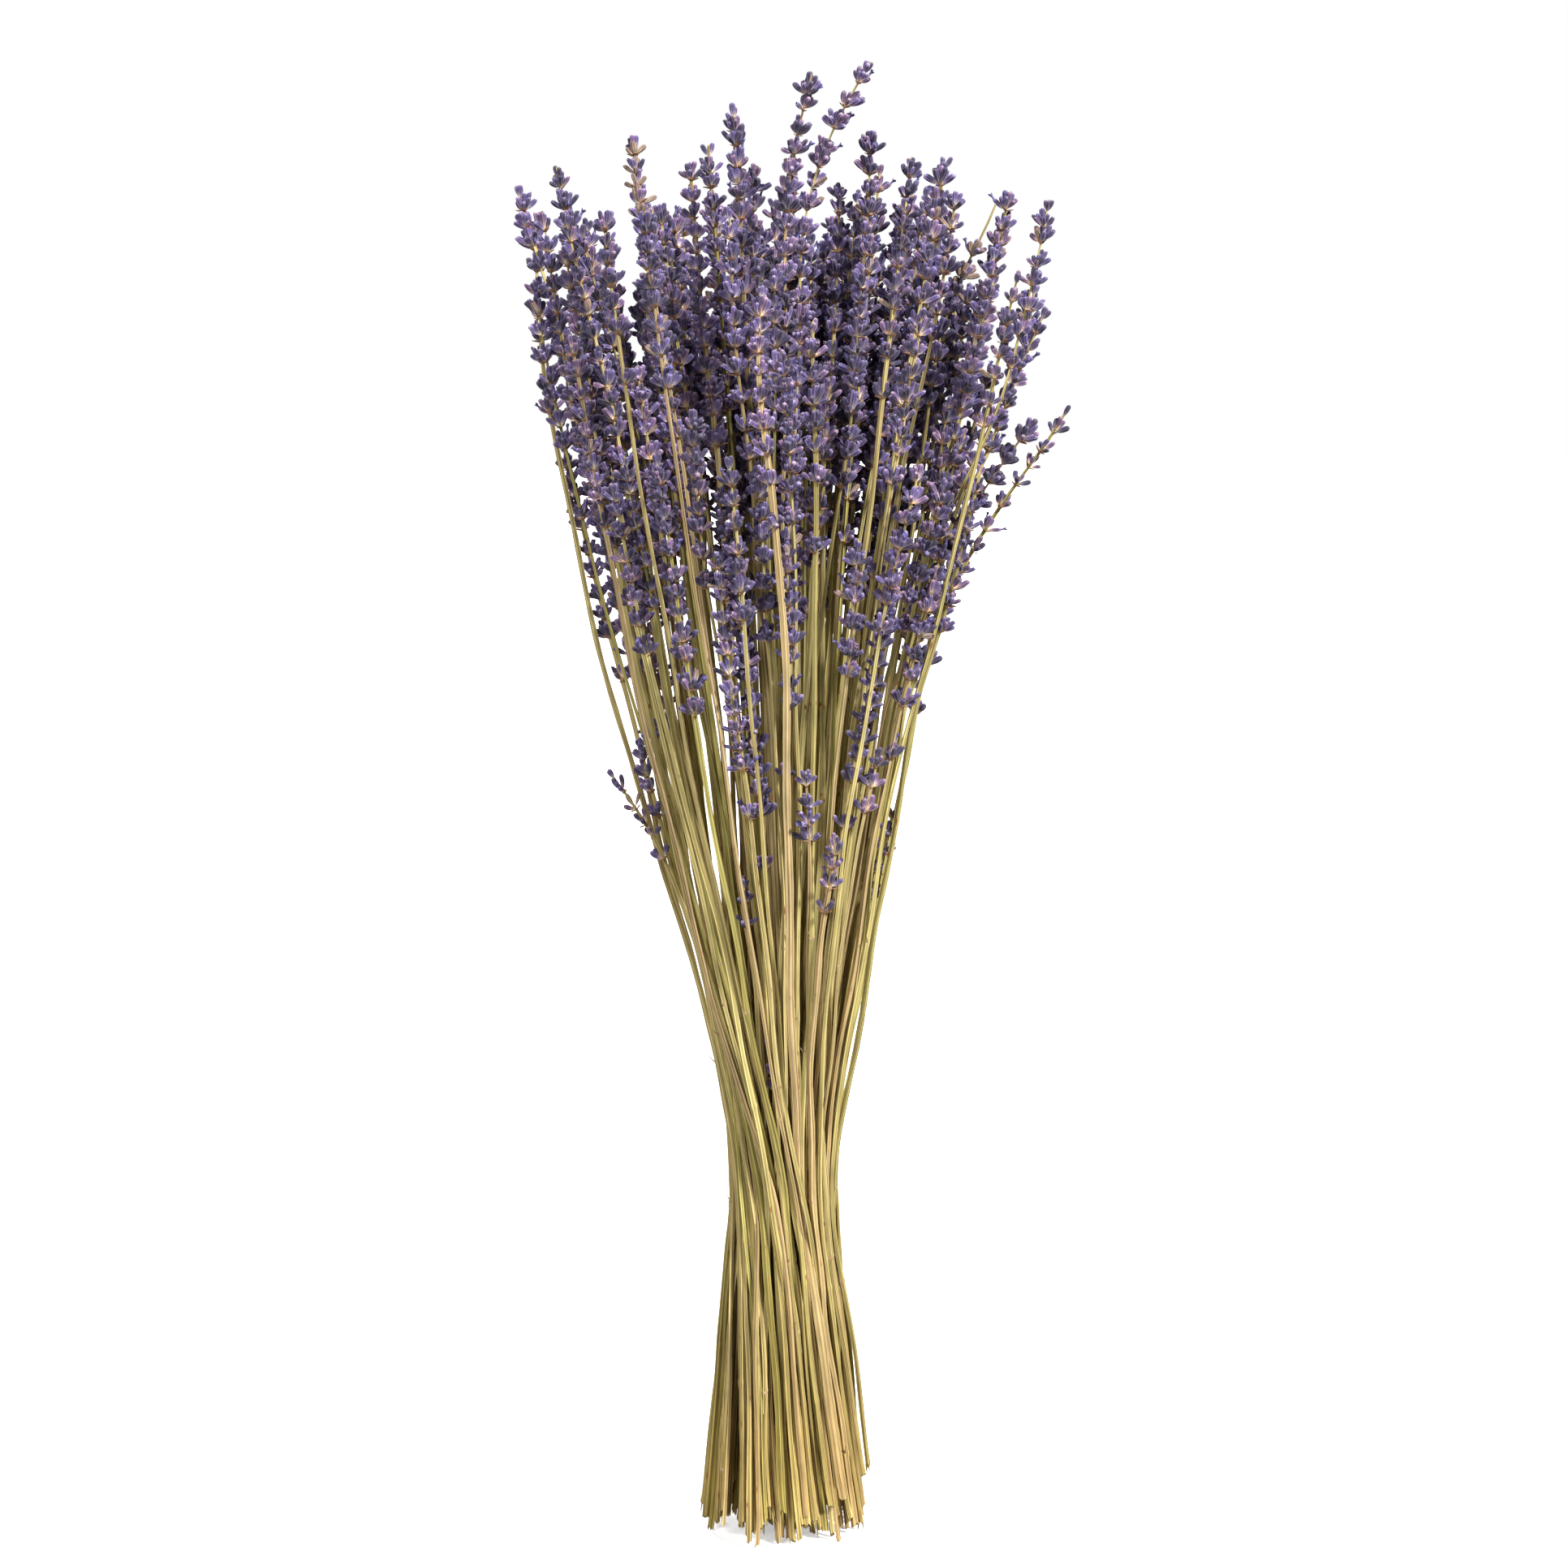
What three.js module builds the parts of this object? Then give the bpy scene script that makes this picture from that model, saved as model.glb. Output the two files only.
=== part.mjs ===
// A bunch of dried lavender standing on its cut ends, in millimetres. +Z is up and -Y is its front.
// Each mesh is one whole flowering stem, thin below and lumpy along its spike. The stems run through a
// tight waist, where a hidden tie holds the inner ones, and turn a little as they go up. At the front, a
// sheaf of them leans left, and opens a V above the waist beside stems that stand straighter.
import * as THREE from 'three';

// Driving dimensions.
const HEIGHT = 450;             // tallest tip
const WAIST_HEIGHT = 112;
const WAIST_RADIUS = 14.6;      // to the middle of the outermost stems
const STEM_RADIUS = 0.95;
const SPREAD_ABOVE = 0.17;      // how fast the bunch widens above the waist, in mm per mm
const SPREAD_BELOW = 0.075;
const TURN_ABOVE = 0.15;        // how fast the outermost stems lean round the bunch, in mm per mm
const TURN_BELOW = 0.115;
const SHEAF_LEAN = 1.3;         // how much of the turn above the waist the leaning sheaf has
const UPRIGHT_LEAN = 0.2;       // and the stems beside it
const SHEAF_EDGE = -114;        // direction of the sheaf's edge among the tips, in degrees from +X
const UPRIGHT_EDGE = -10;       // direction of the last upright tip
const SHEAF_FOOT = -62;         // direction in the waist up to which upright stems lie under the sheaf
const WAIST_BEND = 20;          // length over which a stem bends at the waist
const TIE_RADIUS = 10;          // to the middle of the tie's band
const TIE_THICKNESS = 0.8;
const TIE_WIDTH = 5;

const SIDES = 6;                // of every stem and spike
const STEM_RINGS = [38, 72, 96, 112, 128, 152, 186, 222, 258, 294, 330, 366];  // heights of all stems' rings
const RING_CLEARANCE = 8;       // least distance from one of them to a stem's end or spike
const LUMP_STEP = 17;           // from whorl lump to whorl lump
const LEVEL_STEP = 15;          // between the heights at which stems are kept apart
const GAP = 0.6;                // least distance between two neighbours' surfaces

// The stems that give the bunch its outline, placed by where their tips are.
// [tip x, tip y, tip z, spike length, spike radius, height of the cut end, height where it starts to bend,
// how far the tip then hooks over to the right]
const TALL = [
  [-80, -8, 414, 52, 4.4, 9, 200],
  [-69, 14, 420, 88, 4.2, 3, 200],
  [-62, -26, 402, 70, 4.4, 5, 200],
  [-46, 22, 429, 74, 3.8, 0, 200],
  [-52, -47, 405, 36, 4.2, 8, 220],
  [-40, -62, 406, 52, 4.2, 0, 220],
  [-34, 34, 404, 70, 4.2, 0, 200],
  [-28, -12, 421, 86, 4.2, 2, 220],
  [-15, -30, 437, 86, 4.6, 1, 220],
  [-5, -44, 446, 84, 4.4, 0, 396, 14],
  [4, -24, 450, 100, 4.4, 2, 388, 22],
  [3, 26, 414, 70, 4.4, 0, 200],
  [17, 2, 414, 62, 4.0, 1, 200],
  [26, -4, 430, 96, 4.6, 3, 220],
  [39, 12, 423, 84, 4.4, 0, 220],
  [47, -22, 420, 80, 4.4, 2, 220],
  [60, -6, 409, 62, 4.0, 1, 360, 5],
  [58, 22, 385, 78, 4.2, 4, 200],
];

// Stems at the right that lean out of the head.
const RIGHT = [
  [80, -6, 378, 56, 3.4, 6, 260],
  [75, -24, 346, 44, 4.6, 3, 240],
  [89, 10, 348, 58, 2.6, 8, 230],
];

// Shorter stems that show against the front of the bunch.
const FRONT = [
  [-1, -63, 367, 52, 4.6, 0, 200],
  [-8, -52, 333, 54, 4.4, 3, 200],
  [-20, -46, 326, 60, 4.2, 1, 200],
  [22, -48, 312, 44, 4.4, 0, 200],
  [40, -46, 333, 52, 4.4, 2, 200],
  [50, -26, 328, 48, 4.4, 0, 200],
  [43, -30, 298, 40, 4.2, 5, 200],
  [-47, -18, 309, 42, 4.0, 10, 200],
  [-58, -30, 352, 46, 4.2, 2, 200],
];

// Short stems with small spikes, low down among the bare stems.
const LOW = [
  [-54, -12, 240, 30, 1.9, 12, 190],
  [-45, -2, 248, 26, 3.0, 4, 180],
  [31, -24, 248, 22, 3.2, 6, 170],
  [34, -8, 227, 30, 2.8, 0, 170],
  [17, -27, 222, 26, 2.8, 2, 170],
  [6, -34, 242, 24, 3.2, 1, 170],
  [-12, -28, 209, 18, 2.6, 0, 160],
  [-3, -14, 158, 26, 2.2, 4, 140],
];

// The back of the head: stems on two arcs, whose tips rise and fall in turn.
const BACK_ARCS = [
  { count: 11, radius: 68, from: -0.12, to: 1.1, tips: [396, 412, 384, 404, 372], girth: 4.3 },
  { count: 7, radius: 42, from: 0.0, to: 1.0, tips: [388, 408, 398], girth: 4.4 },
];
const BACK_SPIKE = 66;
const BACK_ENDS = [0, 3, 0, 6, 1];

// How much a stem with this tip leans round the bunch above the waist.
function leanOf([x, y]) {
  const direction = Math.atan2(y, x) * THREE.MathUtils.RAD2DEG;
  if (direction < SHEAF_EDGE) return SHEAF_LEAN;
  const share = Math.max(0, direction - UPRIGHT_EDGE) / (180 - UPRIGHT_EDGE);
  return THREE.MathUtils.lerp(UPRIGHT_LEAN, SHEAF_LEAN, share);
}

// How far the pattern of stems at the waist widens and turns by height z, as a complex number [re, im].
function section(z, lean) {
  const above = z - WAIST_HEIGHT;
  const run = Math.hypot(above, WAIST_BEND) - WAIST_BEND;
  const spread = above > 0 ? SPREAD_ABOVE : SPREAD_BELOW;
  const turn = above > 0 ? lean * TURN_ABOVE : TURN_BELOW;
  return [WAIST_RADIUS + spread * run, -turn * above];
}

function times([a, b], [c, d]) {
  return [a * c - b * d, a * d + b * c];
}

function over([a, b], [c, d]) {
  const size = c * c + d * d;
  return [(a * c + b * d) / size, (b * c - a * d) / size];
}

function backTips() {
  return BACK_ARCS.flatMap(({ count, radius, from, to, tips, girth }) =>
    Array.from({ length: count }, (_, i) => {
      const angle = Math.PI * THREE.MathUtils.lerp(from, to, i / (count - 1));
      const tip = tips[i % tips.length];
      const end = BACK_ENDS[i % BACK_ENDS.length];
      return [radius * Math.cos(angle), radius * Math.sin(angle), tip, BACK_SPIKE, girth, end, 200];
    }));
}

function stemsOf(group, rows) {
  return rows.map(([x, y, top, spike, girth, end, bend, hook = 0], i) => ({
    name: `sprig_${group}_${String(i + 1).padStart(2, '0')}`,
    tip: [x, y],
    lean: leanOf([x, y]),
    top,
    spike,
    girth,
    end,
    bend,
    hook,
  }));
}

// Moves a and b apart along the line between them until they are a distance of need from each other.
function part(a, b, need, share) {
  const dx = b[0] - a[0];
  const dy = b[1] - a[1];
  const apart = Math.hypot(dx, dy);
  if (apart >= need) return;
  const push = share * (need - apart) / Math.max(apart, 1e-6);
  a[0] -= dx * push;
  a[1] -= dy * push;
  b[0] += dx * push;
  b[1] += dy * push;
}

function eachPair(list, visit) {
  for (let i = 0; i < list.length; i++) {
    for (let j = i + 1; j < list.length; j++) visit(list[i], list[j]);
  }
}

// Gives each stem its place in the waist, as a point of the unit disc: as near as it can be to the place
// from which it would reach its tip unbent, clear of its neighbours and of the tie. The upright stems that
// the sheaf crosses lie under it, next to the tie.
function placeInWaist(stems) {
  const spacing = (2 * STEM_RADIUS + GAP + 0.2) / WAIST_RADIUS;
  const margin = STEM_RADIUS + TIE_THICKNESS / 2 + 0.5;
  const inside = (TIE_RADIUS - margin) / WAIST_RADIUS;
  const outside = (TIE_RADIUS + margin) / WAIST_RADIUS;
  for (const stem of stems) stem.place = over(stem.tip, section(stem.top, stem.lean));
  for (let round = 0; round < 600; round++) {
    eachPair(stems, (a, b) => part(a.place, b.place, spacing, 0.5));
    for (const { place, lean } of stems) {
      const size = Math.hypot(...place);
      const direction = Math.atan2(place[1], place[0]) * THREE.MathUtils.RAD2DEG;
      const crossed = lean === UPRIGHT_LEAN && direction < SHEAF_FOOT;
      let wanted = Math.min(size, crossed ? outside : 1);
      if (size > inside && size < outside) wanted = size < (inside + outside) / 2 ? inside : outside;
      place[0] *= wanted / size;
      place[1] *= wanted / size;
    }
  }
}

// The radius of a stem and its spike by height, as rings [z, radius] from the cut end to the tip.
function profile({ end, top, spike, girth }) {
  const foot = top - spike;
  const between = STEM_RINGS.filter((z) => z > end + RING_CLEARANCE && z < foot - RING_CLEARANCE);
  const rings = [end, ...between].map((z) => [z, STEM_RADIUS]);
  const lumps = Math.max(2, Math.round(spike / LUMP_STEP));
  for (let i = 0; i < lumps; i++) {
    const low = foot + spike * i / lumps;
    const swell = girth * (1 - 0.35 * (i / lumps) ** 2);
    rings.push([low, i ? 0.72 * swell : STEM_RADIUS]);
    rings.push([low + 0.45 * spike / lumps, swell]);
  }
  rings.push([top, 0.3 * girth]);
  return rings;
}

// The widest that a stem is within half a level of height z.
function reach(rings, z) {
  const low = z - LEVEL_STEP / 2;
  const high = z + LEVEL_STEP / 2;
  let widest = 0;
  for (let i = 0; i + 1 < rings.length; i++) {
    const [z0, r0] = rings[i];
    const [z1, r1] = rings[i + 1];
    if (z1 >= low && z0 <= high) widest = Math.max(widest, r0, r1);
  }
  return widest;
}

// Where a stem's middle would be at height z if nothing pushed it.
function freeRun({ place, lean, tip, top, bend, hook }, z) {
  const [x, y] = times(place, section(z, lean));
  const [tipX, tipY] = times(place, section(top, lean));
  const share = z > bend ? ((z - bend) / (top - bend)) ** 2 : 0;
  return [x + share * (tip[0] + hook - tipX), y + share * (tip[1] - tipY)];
}

// Pushes the stems apart level by level, and eases each one's pushes along its length.
function pushApart(stems) {
  const levels = Math.ceil(HEIGHT / LEVEL_STEP) + 1;
  for (const stem of stems) {
    stem.rings = profile(stem);
    stem.reach = Array.from({ length: levels }, (_, i) => reach(stem.rings, i * LEVEL_STEP));
    stem.free = Array.from({ length: levels }, (_, i) => freeRun(stem, Math.min(i * LEVEL_STEP, stem.top)));
    stem.run = stem.free.map((point) => [...point]);
  }
  for (let round = 0; round < 400; round++) {
    for (let i = 0; i < levels; i++) {
      const present = stems.filter((stem) => stem.reach[i] > 0);
      eachPair(present, (a, b) => part(a.run[i], b.run[i], a.reach[i] + b.reach[i] + GAP, 0.5));
    }
    if (round < 360) stems.forEach(ease);
  }
}

// Next to the tie a stem is held where the waist has it.
function ease({ free, run }) {
  const pushes = run.map((point, i) => [point[0] - free[i][0], point[1] - free[i][1]]);
  for (let i = 1; i + 1 < run.length; i++) {
    const held = Math.abs(i * LEVEL_STEP - WAIST_HEIGHT) < LEVEL_STEP;
    for (const axis of [0, 1]) {
      const mean = (pushes[i - 1][axis] + 2 * pushes[i][axis] + pushes[i + 1][axis]) / 4;
      run[i][axis] = free[i][axis] + (held ? 0 : mean);
    }
  }
}

// Where a stem's middle is at height z.
function middle({ run }, z) {
  const i = THREE.MathUtils.clamp(Math.floor(z / LEVEL_STEP), 0, run.length - 2);
  const at = z / LEVEL_STEP;
  return [0, 1].map((axis) => THREE.MathUtils.lerp(run[i][axis], run[i + 1][axis], at - i));
}

// A turned profile, whose rings are then slid sideways along the stem's run and stay level.
function sprig(stem) {
  const outline = [[stem.end, 0], ...stem.rings, [stem.top, 0]];
  const points = outline.map(([z, radius]) => new THREE.Vector2(radius, z));
  const geometry = new THREE.LatheGeometry(points, SIDES).rotateX(Math.PI / 2);
  const position = geometry.attributes.position;
  for (let i = 0; i < position.count; i++) {
    const [x, y] = middle(stem, position.getZ(i));
    position.setXY(i, position.getX(i) + x, position.getY(i) + y);
  }
  geometry.computeVertexNormals();
  const material = new THREE.MeshStandardMaterial({ color: 0x625c7c, roughness: 0.85, metalness: 0 });
  const mesh = new THREE.Mesh(geometry, material);
  mesh.name = stem.name;
  return mesh;
}

function tie() {
  const half = TIE_THICKNESS / 2;
  const low = WAIST_HEIGHT - TIE_WIDTH / 2;
  const high = WAIST_HEIGHT + TIE_WIDTH / 2;
  const outline = [
    [TIE_RADIUS + half, low],
    [TIE_RADIUS + half, high],
    [TIE_RADIUS - half, high],
    [TIE_RADIUS - half, low],
    [TIE_RADIUS + half, low],
  ].map(([radius, z]) => new THREE.Vector2(radius, z));
  const geometry = new THREE.LatheGeometry(outline, 24).rotateX(Math.PI / 2);
  const material = new THREE.MeshStandardMaterial({ color: 0xb39a6a, roughness: 0.9, metalness: 0 });
  const mesh = new THREE.Mesh(geometry, material);
  mesh.name = 'inner_tie';
  return mesh;
}

const stems = [
  ...stemsOf('tall', TALL),
  ...stemsOf('right', RIGHT),
  ...stemsOf('front', FRONT),
  ...stemsOf('low', LOW),
  ...stemsOf('back', backTips()),
];
placeInWaist(stems);
pushApart(stems);

const bunch = new THREE.Group();
bunch.add(...stems.map(sprig), tie());

// The origin is at the middle of the bunch's own box, on the surface that it stands on.
const box = new THREE.Box3().setFromObject(bunch, true);
const centre = box.getCenter(new THREE.Vector3());
bunch.position.set(-centre.x, -centre.y, -box.min.z);

export default bunch;
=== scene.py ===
"""The looks of a bunch of dried lavender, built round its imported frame. Lengths are in metres.

Each CAD sprig gives the run and the girth of one flowering stem, which is built here in full detail: a square
ribbed stem, whorls of ribbed and toothed calyces, papery bracts and a few withered petals. More stems of the
same kind stand between them, where the widening and turning of the whole bunch takes them.
"""
import math

import bpy
import numpy as np
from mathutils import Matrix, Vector


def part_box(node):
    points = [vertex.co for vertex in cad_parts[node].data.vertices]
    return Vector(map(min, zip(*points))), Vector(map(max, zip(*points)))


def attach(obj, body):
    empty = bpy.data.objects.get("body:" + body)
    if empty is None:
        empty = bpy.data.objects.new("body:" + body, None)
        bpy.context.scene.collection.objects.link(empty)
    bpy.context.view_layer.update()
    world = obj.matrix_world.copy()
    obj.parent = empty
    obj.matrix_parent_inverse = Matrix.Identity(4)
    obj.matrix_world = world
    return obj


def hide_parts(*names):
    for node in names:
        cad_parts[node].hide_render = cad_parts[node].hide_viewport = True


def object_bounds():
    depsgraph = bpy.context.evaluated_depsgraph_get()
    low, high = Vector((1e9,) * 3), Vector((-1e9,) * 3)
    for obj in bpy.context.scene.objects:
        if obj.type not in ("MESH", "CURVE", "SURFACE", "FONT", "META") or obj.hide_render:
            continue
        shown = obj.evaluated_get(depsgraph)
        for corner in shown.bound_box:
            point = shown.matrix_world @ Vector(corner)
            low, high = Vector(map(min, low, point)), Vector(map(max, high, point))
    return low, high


MM = 0.001

# Stems
STEM_RADIUS = 0.95 * MM         # at the cut end
STEM_TAPER = 0.66               # the radius at the tip, as a share of that
STEM_SIDES = 12                 # a corner and two face points, four times round
STEM_CORNER = 1.1               # how far a corner and a face stand out, as shares of the radius
STEM_FACE = 0.84
STEM_STEP = 5 * MM              # between rings
JOINT_HEIGHTS = (0.03, 0.42)    # where joints grow, as shares of the bunch's height
JOINT_LENGTH = 2.2 * MM
WANDER = 0.55 * MM              # how far a stem strays from its run
STEM_GIRTHS = (0.72, 1.22)      # how thin and how thick stems are, as shares of the usual radius
COLLARED = 0.4                  # share of joints with a pale collar
STUBBED = 0.5                   # share of joints with what is left of leaves
FRAYED = 0.35                   # share of cut ends with loose fibres
SHARP_ANGLE = 58                # degrees: a fold that is sharper shows as an edge

# Flowers
CALYX_LENGTH = 5.0 * MM
CALYX_RADIUS = 0.9 * MM
WHORL_STEP = 7.0 * MM           # between whorls at the foot of a spike
FULL_GIRTH = 4.3 * MM           # the CAD radius of a spike with full whorls
FULL_WHORL = 14                 # calyces in such a whorl
WHORL_TILT = 0.13               # how far whorls lean off their stem, as a slope
WHORL_ANGLES = [66, 44, 10]     # how far its lowest, middle and top calyces stand off the stem, in degrees
CALYX_STEP = 2.4                # radians from one calyx to the next round the stem
BENDS = (0.1, 0.35, 0.65)       # how much calyces curl, in radians over their length
LONE_WHORL = (10 * MM, 20 * MM)  # how far below a spike a lone whorl can be
WITH_LONE_WHORL = 0.45          # share of full spikes that have one
BRACT_LENGTH = 2.9 * MM
IN_FLOWER = 0.04                # share of calyces with a withered flower
WITHERED = 0.02                 # share of calyces that have lost their colour
BARE_TIPS = {"sprig_tall_17": 0.13}     # share of a spike that has lost its buds
WITHERED_TIPS = {"sprig_tall_04": 0.5, "sprig_tall_17": 0.5}    # share of withered calyces near the tip

# The map that colours are read from: u says which tone a face has and where it is round its stem or calyx,
# and v says how far along it is.
CELLS = 32
CALYX_CELLS = range(0, 11)
WITHERED_CELL = 11
BRACT_CELLS = range(12, 14)
STEM_CELLS = range(16, 32)

# Stems between the CAD ones
FILLERS = 132
FILLER_GROUPS = 16              # pieces that they are joined into
FILLER_SPIKES = (44 * MM, 84 * MM)      # the lengths of their spikes
FILLER_GIRTHS = (3.3 * MM, 4.4 * MM)    # and their radii
GOLDEN = 0.618                  # step that spreads the tops of neighbours evenly
STRAY = 3.2 * MM                # how far their feet and heads stray from where the bunch would take them
OUTLINE_SLACK = 3 * MM          # how far they can stand out from the outline of the CAD ones
LEVEL_STEP = 10 * MM            # between the heights at which they are kept apart
CLEARANCE = 0.92                # how far apart two of them are kept, as a share of their radii together
PUSHES = 50                     # rounds of pushing them apart
INNER_LOW = 0.78                # how high the shortest of the inner ones reach, as a share of the bunch
LOW_TOPS = [(-165, 0.75), (-125, 0.7), (-95, 0.62), (-20, 0.64), (25, 0.7), (90, 0.66), (160, 0.72)]
                                # and the shortest of the outer ones, by their direction in degrees
HIGH_TOPS = (0.955, 0.895)      # how high the tallest of the inner and the outer ones reach
LOW_END = 9 * MM                # how far off the floor the cut ends can be in the middle
LOW_END_BESIDE = 24 * MM        # and at the sides

# Camera
CAMERA_DISTANCE = 1.25
CAMERA_HEIGHT = 0.40
FRAME_FILL = 0.95               # share of the picture's height that the bunch takes
AIM = 0.013                     # how far above the bunch's middle it aims, as a share of its view

random = np.random.default_rng(20)


def srgb(red, green, blue):
    """A linear colour from the 0 to 255 values of a screen colour."""
    parts = np.array([red, green, blue]) / 255
    linear = np.where(parts <= 0.04045, parts / 12.92, ((parts + 0.055) / 1.055) ** 2.4)
    return (*linear, 1.0)


# ------------ materials


class Look:
    """A material under way: its node tree, its surface shader and short ways to add nodes."""

    def __init__(self, name, roughness):
        self.material = bpy.data.materials.new(name)
        self.material.use_nodes = True
        self.tree = self.material.node_tree
        self.shader = self.tree.nodes["Principled BSDF"]
        self.shader.inputs["Roughness"].default_value = roughness
        self.shader.inputs["Specular IOR Level"].default_value = 0.3
        uv = self.tree.nodes.new("ShaderNodeUVMap")
        uv.uv_map = "OFBake"
        split = self.tree.nodes.new("ShaderNodeSeparateXYZ")
        self.tree.links.new(uv.outputs[0], split.inputs[0])
        cells = self.math("MULTIPLY", split.outputs[0], CELLS)
        self.cell = self.math("FLOOR", cells)
        self.round = self.math("FRACT", cells)
        self.along = split.outputs[1]

    def put(self, socket, value):
        if isinstance(value, bpy.types.NodeSocket):
            self.tree.links.new(value, socket)
        else:
            socket.default_value = value

    def math(self, operation, *values):
        node = self.tree.nodes.new("ShaderNodeMath")
        node.operation = operation
        for socket, value in zip(node.inputs, values):
            self.put(socket, value)
        return node.outputs[0]

    def chance(self, salt):
        """A number from 0 to 1 that each tone has of its own."""
        node = self.tree.nodes.new("ShaderNodeTexWhiteNoise")
        node.noise_dimensions = "1D"
        self.put(node.inputs["W"], self.math("ADD", self.cell, salt))
        return node.outputs["Value"]

    def ramp(self, factor, stops):
        node = self.tree.nodes.new("ShaderNodeValToRGB")
        elements = node.color_ramp.elements
        while len(elements) < len(stops):
            elements.new(0.5)
        for element, (position, colour) in zip(elements, stops):
            element.position = position
            element.color = colour
        self.put(node.inputs[0], factor)
        return node.outputs[0]

    def blend(self, kind, factor, first, second):
        node = self.tree.nodes.new("ShaderNodeMix")
        node.data_type = "RGBA"
        node.blend_type = kind
        self.put(node.inputs[0], factor)
        self.put(node.inputs[6], first)
        self.put(node.inputs[7], second)
        return node.outputs[2]

    def scaled(self, colour, factor):
        """The colour made lighter or darker by a factor."""
        node = self.tree.nodes.new("ShaderNodeVectorMath")
        node.operation = "SCALE"
        self.put(node.inputs[0], colour)
        self.put(node.inputs["Scale"], factor)
        return node.outputs[0]

    def between(self, factor, low, high):
        """A number from low to high as factor goes from 0 to 1."""
        return self.math("MULTIPLY_ADD", factor, high - low, low)

    def grain(self, across, along, detail=3.0):
        """Noise drawn out along the stem or calyx, different for each tone."""
        joined = self.tree.nodes.new("ShaderNodeCombineXYZ")
        self.put(joined.inputs[0], self.math("MULTIPLY", self.round, across))
        self.put(joined.inputs[1], self.math("MULTIPLY", self.along, along))
        self.put(joined.inputs[2], self.math("MULTIPLY", self.cell, 7.3))
        node = self.tree.nodes.new("ShaderNodeTexNoise")
        node.inputs["Scale"].default_value = 1.0
        node.inputs["Detail"].default_value = detail
        self.put(node.inputs["Vector"], joined.outputs[0])
        return node.outputs["Fac"]

    def finish(self, colour, height=None, depth=0.0):
        self.put(self.shader.inputs["Base Color"], colour)
        if height is not None:
            bump = self.tree.nodes.new("ShaderNodeBump")
            bump.inputs["Strength"].default_value = 0.5
            bump.inputs["Distance"].default_value = depth
            self.put(bump.inputs["Height"], height)
            self.put(self.shader.inputs["Normal"], bump.outputs[0])
        return self.material


def calyx_look():
    """Greyish violet, straw-pale at its foot and dark at its teeth, with a fine fuzz, and with ribs lighter
    on their ridges and darker in their grooves: partly its own pale ribs, partly painted highlight and
    painted shade.
    """
    look = Look("dried_calyx", 0.85)
    look.shader.inputs["Sheen Weight"].default_value = 0.2
    look.shader.inputs["Sheen Roughness"].default_value = 0.6
    colour = look.ramp(look.along, [
        (0.0, srgb(240, 222, 180)),
        (0.16, srgb(220, 202, 174)),
        (0.32, srgb(154, 138, 144)),
        (0.52, srgb(98, 83, 112)),
        (0.75, srgb(76, 61, 95)),
        (0.9, srgb(92, 77, 108)),
        (1.0, srgb(142, 128, 144)),
    ])
    tint = look.ramp(look.chance(1.5), [
        (0.0, srgb(255, 236, 226)),
        (0.3, srgb(252, 242, 242)),
        (0.6, srgb(240, 240, 254)),
        (0.9, srgb(226, 232, 255)),
        (1.0, srgb(212, 222, 255)),
    ])
    colour = look.blend("MULTIPLY", 1.0, colour, tint)
    withered = look.ramp(look.along, [
        (0.0, srgb(244, 226, 192)),
        (0.5, srgb(222, 192, 168)),
        (1.0, srgb(182, 146, 136)),
    ])
    is_withered = look.math("COMPARE", look.cell, WITHERED_CELL, 0.1)
    colour = look.blend("MIX", is_withered, colour, withered)
    # The ridges are lighter and the grooves darker: partly the calyx's own pale ribs, partly painted
    # highlight on the ridges and painted shade in the grooves.
    pale_ribs_and_groove_shade = look.math("POWER", look.between(look.round, 0.55, 1.3), 1.6)
    tone = look.between(look.chance(9.5), 0.45, 1.75)
    fuzz = look.grain(8, 15)
    speckle = look.between(look.math("POWER", fuzz, 2.0), 0.25, 4.2)
    strength = look.math("MULTIPLY", look.math("MULTIPLY", pale_ribs_and_groove_shade, tone), speckle)
    return look.finish(look.scaled(colour, strength), fuzz, 0.25 * MM)


def stem_look():
    """Straw to olive, with long streaks, and with corners painted light and recessed faces painted dark: a
    painted highlight and painted shade.
    """
    look = Look("dried_stem", 0.66)
    colour = look.ramp(look.chance(4.5), [
        (0.0, srgb(170, 168, 108)),
        (0.25, srgb(188, 180, 130)),
        (0.5, srgb(196, 185, 142)),
        (0.72, srgb(157, 156, 92)),
        (0.88, srgb(190, 174, 140)),
        (1.0, srgb(192, 169, 140)),
    ])
    height = look.ramp(look.along, [
        (0.0, srgb(255, 240, 212)),
        (0.05, srgb(240, 226, 194)),
        (0.12, srgb(226, 216, 190)),
        (0.3, srgb(255, 248, 230)),
        (0.6, srgb(255, 250, 236)),
        (1.0, srgb(250, 240, 226)),
    ])
    colour = look.blend("MULTIPLY", 1.0, colour, height)
    streak = look.grain(26, 5, 4.0)
    groove = look.ramp(streak, [
        (0.34, srgb(84, 60, 34)),
        (0.43, srgb(222, 210, 184)),
        (0.54, srgb(255, 255, 250)),
        (0.68, srgb(255, 250, 236)),
    ])
    colour = look.blend("MULTIPLY", 1.0, colour, groove)
    # Painted highlight on the stem's raised corners and painted shade on its recessed faces.
    corner = look.math("COSINE", look.math("MULTIPLY", look.round, 8 * math.pi))
    painted_corner_light_and_face_shade = look.between(look.math("MULTIPLY_ADD", corner, 0.5, 0.5), 0.66, 1.2)
    blotch = look.grain(2, 46, 4.0)
    strength = look.math("MULTIPLY", painted_corner_light_and_face_shade, look.between(blotch, 0.55, 1.65))
    rust = look.ramp(look.grain(5, 90, 1.0), [(0.72, srgb(0, 0, 0)), (0.78, srgb(255, 255, 255))])
    colour = look.blend("MIX", rust, look.scaled(colour, strength), srgb(140, 92, 56))
    return look.finish(colour, streak, 0.12 * MM)


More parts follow.
